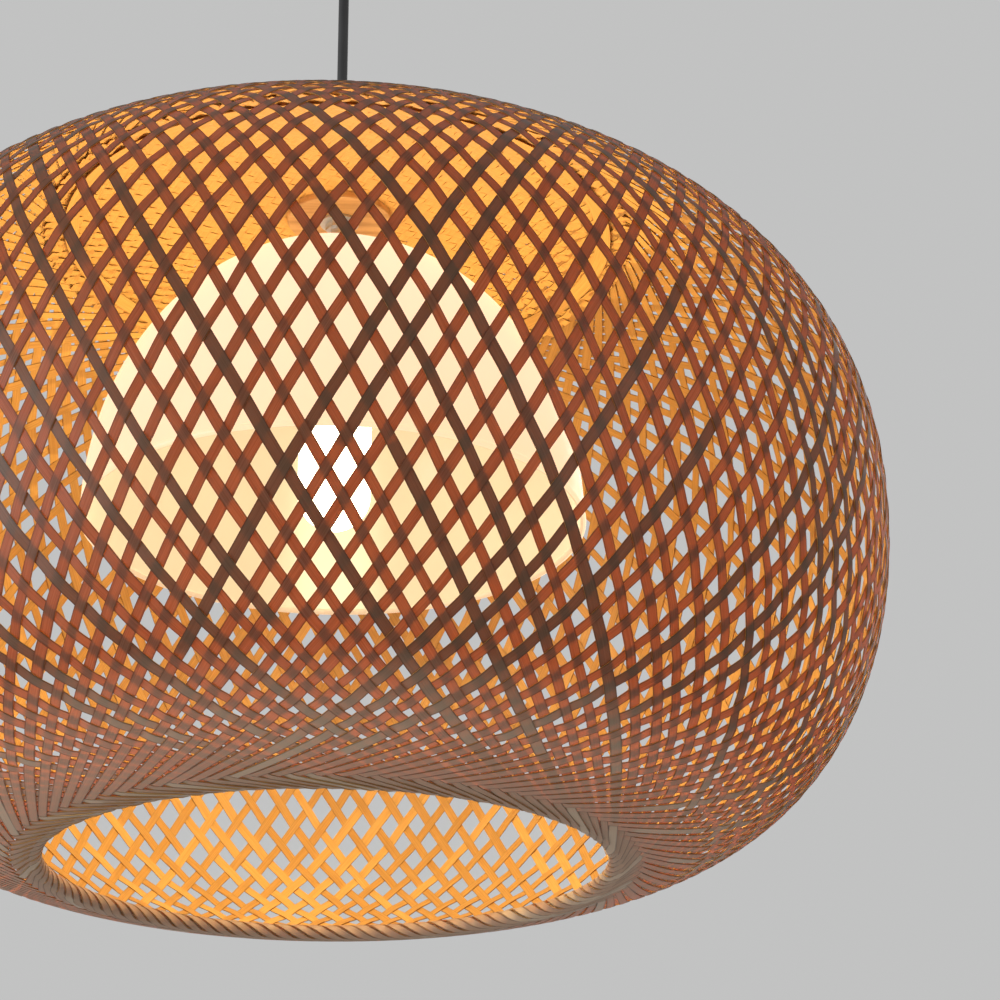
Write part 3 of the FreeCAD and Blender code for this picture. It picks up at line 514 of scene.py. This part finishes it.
def weave_strip(sense, phase, tone, width, spans):
    """One long strip from the crown's ring to inside the hem, on the surface's geodesic."""
    first, last = surface.at(surface.top, "run"), surface.run[-1]
    steps = int((last - first) / SAMPLE_STEP)
    run = np.linspace(first, last, steps)
    down = np.interp(run, surface.run, surface.down)
    radius, height = surface.at(down, "radius"), surface.at(down, "height")
    d_radius, d_height = surface.at(down, "d_radius"), surface.at(down, "d_height")
    sine, cosine = surface.at(down, "sine"), surface.at(down, "cosine")
    row = surface.at(down, "angle") * STRIPS / math.pi
    spacing = 2 * math.pi / STRIPS
    drift = wander(run, 0.55, 0.05 * spacing) + wander(run, 0.13, 0.018 * spacing)
    angle = phase + sense * surface.at(down, "angle") + drift
    left = surface.mouth - down
    from_top = down - surface.top
    edge = np.minimum(left, from_top)
    pitch = 2 * math.pi * radius * cosine / STRIPS
    width = width * (1.0 + wander(run, 0.2, 0.05)) * (1.0 - 0.22 * (1.0 - smooth(edge, 0.0, 0.045)))
    dense = np.zeros_like(run)
    for begin, finish in spans:
        start_of_span = smooth(run - first, begin, begin + 0.004)
        span = start_of_span * (1.0 - smooth(run - first, finish, finish + 0.004))
        dense = np.maximum(dense, span)
    width = width * (1.0 + 0.06 * dense)
    lean = np.clip(0.00062 / pitch, 0.0, 0.3) * smooth(width * 1.05 - pitch, 0.0, 0.0012)
    layer = 0.5 * lean * width
    over = -sense * np.cos(math.pi * row) * 0.00045
    body = smooth(edge, OPEN_END - 0.003, OPEN_END + 0.003)
    lip = 1.0 - smooth(edge, LIP_START - 0.0015, LIP_START + 0.0015)
    band = 1.0 - body - lip
    lift = body * over + (lip - band) * sense * (0.00045 + layer)
    out = np.stack([-d_height, d_radius], axis=-1)
    flat = np.stack([np.cos(angle), np.sin(angle), np.zeros_like(angle)], axis=-1)
    around = np.stack([-np.sin(angle), np.cos(angle), np.zeros_like(angle)], axis=-1)
    upward = np.array([0.0, 0.0, 1.0])
    centre = flat * radius[:, None] + upward * (height + EQUATOR)[:, None]
    normal = flat * out[:, :1] + upward * out[:, 1:]
    slope = flat * d_radius[:, None] + upward * d_height[:, None]
    along = slope * cosine[:, None] + around * (sense * sine)[:, None]
    across = np.cross(normal, along)
    sections = ribbon_sections(centre, across, normal, width, lift, sense * lean)
    return {"sections": sections, "run": run, "width": width, "tone": tone, "dense": dense,
            "seed": chance.random()}


def dense_spans(length):
    """Where a strip is doubled by the end of another laid along it."""
    if chance.random() > 0.38:
        return []
    begin = chance.uniform(-0.3, 0.7) * length
    return [(begin, begin + chance.uniform(0.25, 0.9) * length)]


def weave_shade(material):
    """Both families of strips, each cut into a few pieces of a moderate size."""
    length = surface.run[-1] - surface.at(surface.top, "run")
    for sense, family in ((1, "rising"), (-1, "falling")):
        ribbons = []
        for number in range(STRIPS):
            phase = (number + chance.normal(0.0, 0.05)) * 2 * math.pi / STRIPS
            width = STRIP_WIDTH * chance.uniform(0.92, 1.10)
            ribbons.append(weave_strip(sense, phase, chance.random(), width, dense_spans(length)))
        share = math.ceil(STRIPS / PARTS)
        for part in range(PARTS):
            name = "%s_strips_%d" % (family, part + 1)
            piece = add_ribbons(name, ribbons[part * share:(part + 1) * share], material)
            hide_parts("woven_shade")


def crown_height_at(radius):
    """The profile's height above the equator at a radius, on the crown's side."""
    above = surface.height > 0.0
    return np.interp(radius, surface.radius[above], surface.height[above])


def weave_crown(material):
    """The dense mat that closes the crown, of plain-woven strips in two directions."""
    turn = math.radians(24.0)
    count = int(MAT_RADIUS / MAT_PITCH)
    for direction, name in ((0, "crown_mat_long"), (1, "crown_mat_cross")):
        ribbons = []
        for number in range(-count, count + 1):
            offset = number * MAT_PITCH
            reach = math.sqrt(max(MAT_RADIUS ** 2 - offset ** 2, 0.0))
            if reach < 0.02:
                continue
            spans = [(-reach, reach)]
            if abs(offset) < 0.014:
                spans = [(-reach, -0.02), (0.02, reach)]
            for low, high in spans:
                run = np.linspace(low, high, max(int((high - low) / 0.0021), 8))
                shift = offset + wander(run, 0.07, 0.0007) + wander(run, 0.035, 0.00025)
                x, y = (run, shift) if direction == 0 else (shift, run)
                parity = math.pi * (run / MAT_PITCH + number + direction)
                lift = np.cos(parity) * 0.0004
                where = np.stack([x * math.cos(turn) - y * math.sin(turn),
                                  x * math.sin(turn) + y * math.cos(turn)], axis=-1)
                radius = np.hypot(where[:, 0], where[:, 1])
                height = crown_height_at(radius) + EQUATOR - 0.0020
                centre = np.concatenate([where, height[:, None]], axis=1)
                along = np.gradient(centre, axis=0)
                along /= np.linalg.norm(along, axis=1)[:, None]
                across = np.cross(np.array([0.0, 0.0, 1.0]), along)
                across /= np.linalg.norm(across, axis=1)[:, None]
                normal = np.cross(along, across)
                width = MAT_WIDTH * (1.0 + wander(run, 0.09, 0.03))
                ribbons.append({
                    "sections": ribbon_sections(centre, across, normal, width, lift),
                    "run": run, "width": width, "tone": chance.random(), "dense": 0.35,
                    "seed": chance.random(),
                })
        piece = add_ribbons(name, ribbons, material)
        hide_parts("crown_mat")


def bind_crown(material):
    """The flat bands that bind the mat's edge to the strips' ends, one above and one below."""
    ribbons = []
    for radius, lift, width in ((0.1525, 0.0024, 0.0085), (0.1525, -0.0036, 0.0085)):
        angle = np.linspace(0.0, 2 * math.pi * 1.015, 260)
        drop = np.linspace(0.0, 0.0007, 260)
        reach = radius + wander(angle, 2.1, 0.0003)
        height = crown_height_at(reach) + EQUATOR
        slope = (crown_height_at(reach + 0.001) - crown_height_at(reach - 0.001)) / 0.002
        flat = np.stack([np.cos(angle), np.sin(angle), np.zeros_like(angle)], axis=-1)
        upward = np.array([0.0, 0.0, 1.0])
        centre = flat * reach[:, None] + upward * height[:, None]
        size = np.sqrt(1.0 + slope ** 2)
        across = (flat + upward * slope[:, None]) / size[:, None] * -1.0
        normal = (upward - flat * slope[:, None]) / size[:, None]
        ribbons.append({
            "sections": ribbon_sections(centre, across, normal, width, lift + drop * np.sign(lift)),
            "run": angle * radius, "width": width, "tone": chance.random(), "dense": 0.5,
            "seed": chance.random(),
        })
    piece = add_ribbons("crown_binding", ribbons, material)
    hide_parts("woven_shade")


# ---- light and stage ----------------------------------------------------------------------------


def area_light(name, place, target, size, power, colour):
    data = bpy.data.lights.new(name, "AREA")
    data.shape = "RECTANGLE"
    data.size, data.size_y = size
    data.energy = power
    data.color = colour
    light = bpy.data.objects.new(name, data)
    bpy.context.scene.collection.objects.link(light)
    light.location = place
    light.rotation_euler = (Vector(target) - Vector(place)).to_track_quat("-Z", "Y").to_euler()
    return light


def add_inner_glow(receivers):
    """The light that the dome sheds on the pieces round it. It passes through the dome and holder."""
    data = bpy.data.lights.new("inner_glow", "POINT")
    data.energy = 7.0
    data.shadow_soft_size = 0.11
    data.color = (1.0, 0.78, 0.42)
    light = bpy.data.objects.new("inner_glow", data)
    bpy.context.scene.collection.objects.link(light)
    light.location = (0.0, 0.0, EQUATOR + 0.06)
    lit = bpy.data.collections.new("lit_by_the_dome")
    for piece in receivers:
        lit.objects.link(piece)
    light.light_linking.receiver_collection = lit
    light.light_linking.blocker_collection = lit
    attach(light, "lamp")


def add_stage():
    """A pale plain floor under pale surroundings, and soft light."""
    world = bpy.data.worlds.new("surroundings")
    world.use_nodes = True
    background = world.node_tree.nodes["Background"]
    background.inputs["Color"].default_value = (0.60, 0.602, 0.60, 1.0)
    background.inputs["Strength"].default_value = 0.9
    bpy.context.scene.world = world
    mesh = bpy.data.meshes.new("floor")
    ring = [(9.0 * math.cos(a), 9.0 * math.sin(a), -1.75) for a in np.linspace(0, 2 * math.pi, 97)[:-1]]
    mesh.from_pydata(ring, [], [list(range(96))])
    floor = bpy.data.objects.new("floor", mesh)
    bpy.context.scene.collection.objects.link(floor)
    made = Shader("floor_plaster")
    cloud = made.noise(made.place(), 1.3, 4.0)
    share = made.remap(cloud, 0.3, 0.7, 0.0, 1.0)
    plaster = made.mix(share, (0.84, 0.835, 0.82), (0.80, 0.795, 0.78))
    made.put(made.body, Roughness=0.8, Base_Color=plaster)
    mesh.materials.append(made.material)
    area_light("window", (-2.6, -1.2, -0.6), (0, 0, EQUATOR), (1.8, 2.2), 70.0, (0.96, 0.98, 1.0))
    area_light("fill", (2.4, -2.2, -0.2), (0, 0, EQUATOR), (2.0, 2.0), 18.0, (1.0, 0.98, 0.95))
    area_light("back", (0.8, 2.6, 0.6), (0, 0, EQUATOR), (2.4, 1.6), 16.0, (1.0, 0.99, 0.97))


strip = bamboo_strip()
finish_cad_nodes()
weave_shade(strip)
weave_crown(strip)
bind_crown(strip)
meshes = [piece for piece in bpy.data.objects if piece.type == "MESH"]
woven = [piece for piece in meshes if strip.name in piece.data.materials]
hidden_in_crown = "lower_crown_disc", "threaded_stem", "stem_nuts", "stem_washers", "cord_gland"
add_inner_glow(woven + [bpy.data.objects[node] for node in hidden_in_crown])
add_stage()
bpy.context.scene.view_settings.view_transform = "Standard"
